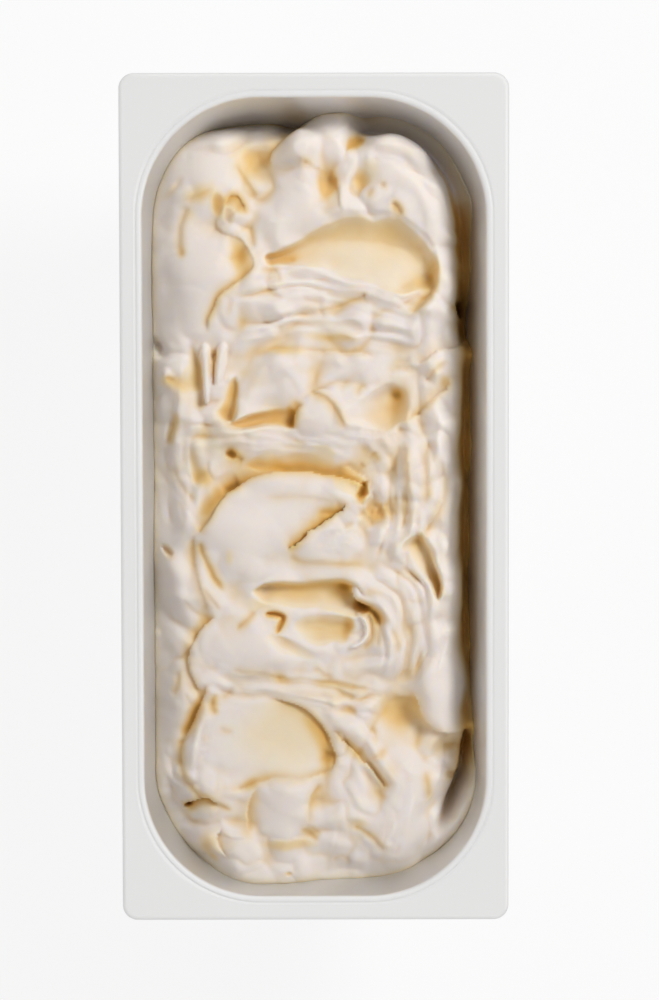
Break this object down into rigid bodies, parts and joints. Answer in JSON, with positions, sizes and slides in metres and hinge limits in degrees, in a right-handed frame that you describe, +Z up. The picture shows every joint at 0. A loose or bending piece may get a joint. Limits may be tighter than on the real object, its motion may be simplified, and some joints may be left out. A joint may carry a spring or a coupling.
{
  "type": "gelato pan",
  "caption": "Open rectangular steel display pan with a round-cornered mouth, filled with pale cream gelato worked into folds and hollows.",
  "frame": {"origin": "middle of the pan's base, on the table", "axes": "+X across the pan, +Y along its length, +Z up out of its mouth"},
  "size_m": [0.165, 0.36, 0.12],
  "materials": {
    "steel": "satin, bright",
    "gelato": "frozen cream, soft and slightly damp"
  },
  "bodies": {
    "root": {"pan": "steel", "gelato": "gelato"}
  },
  "joints": []
}
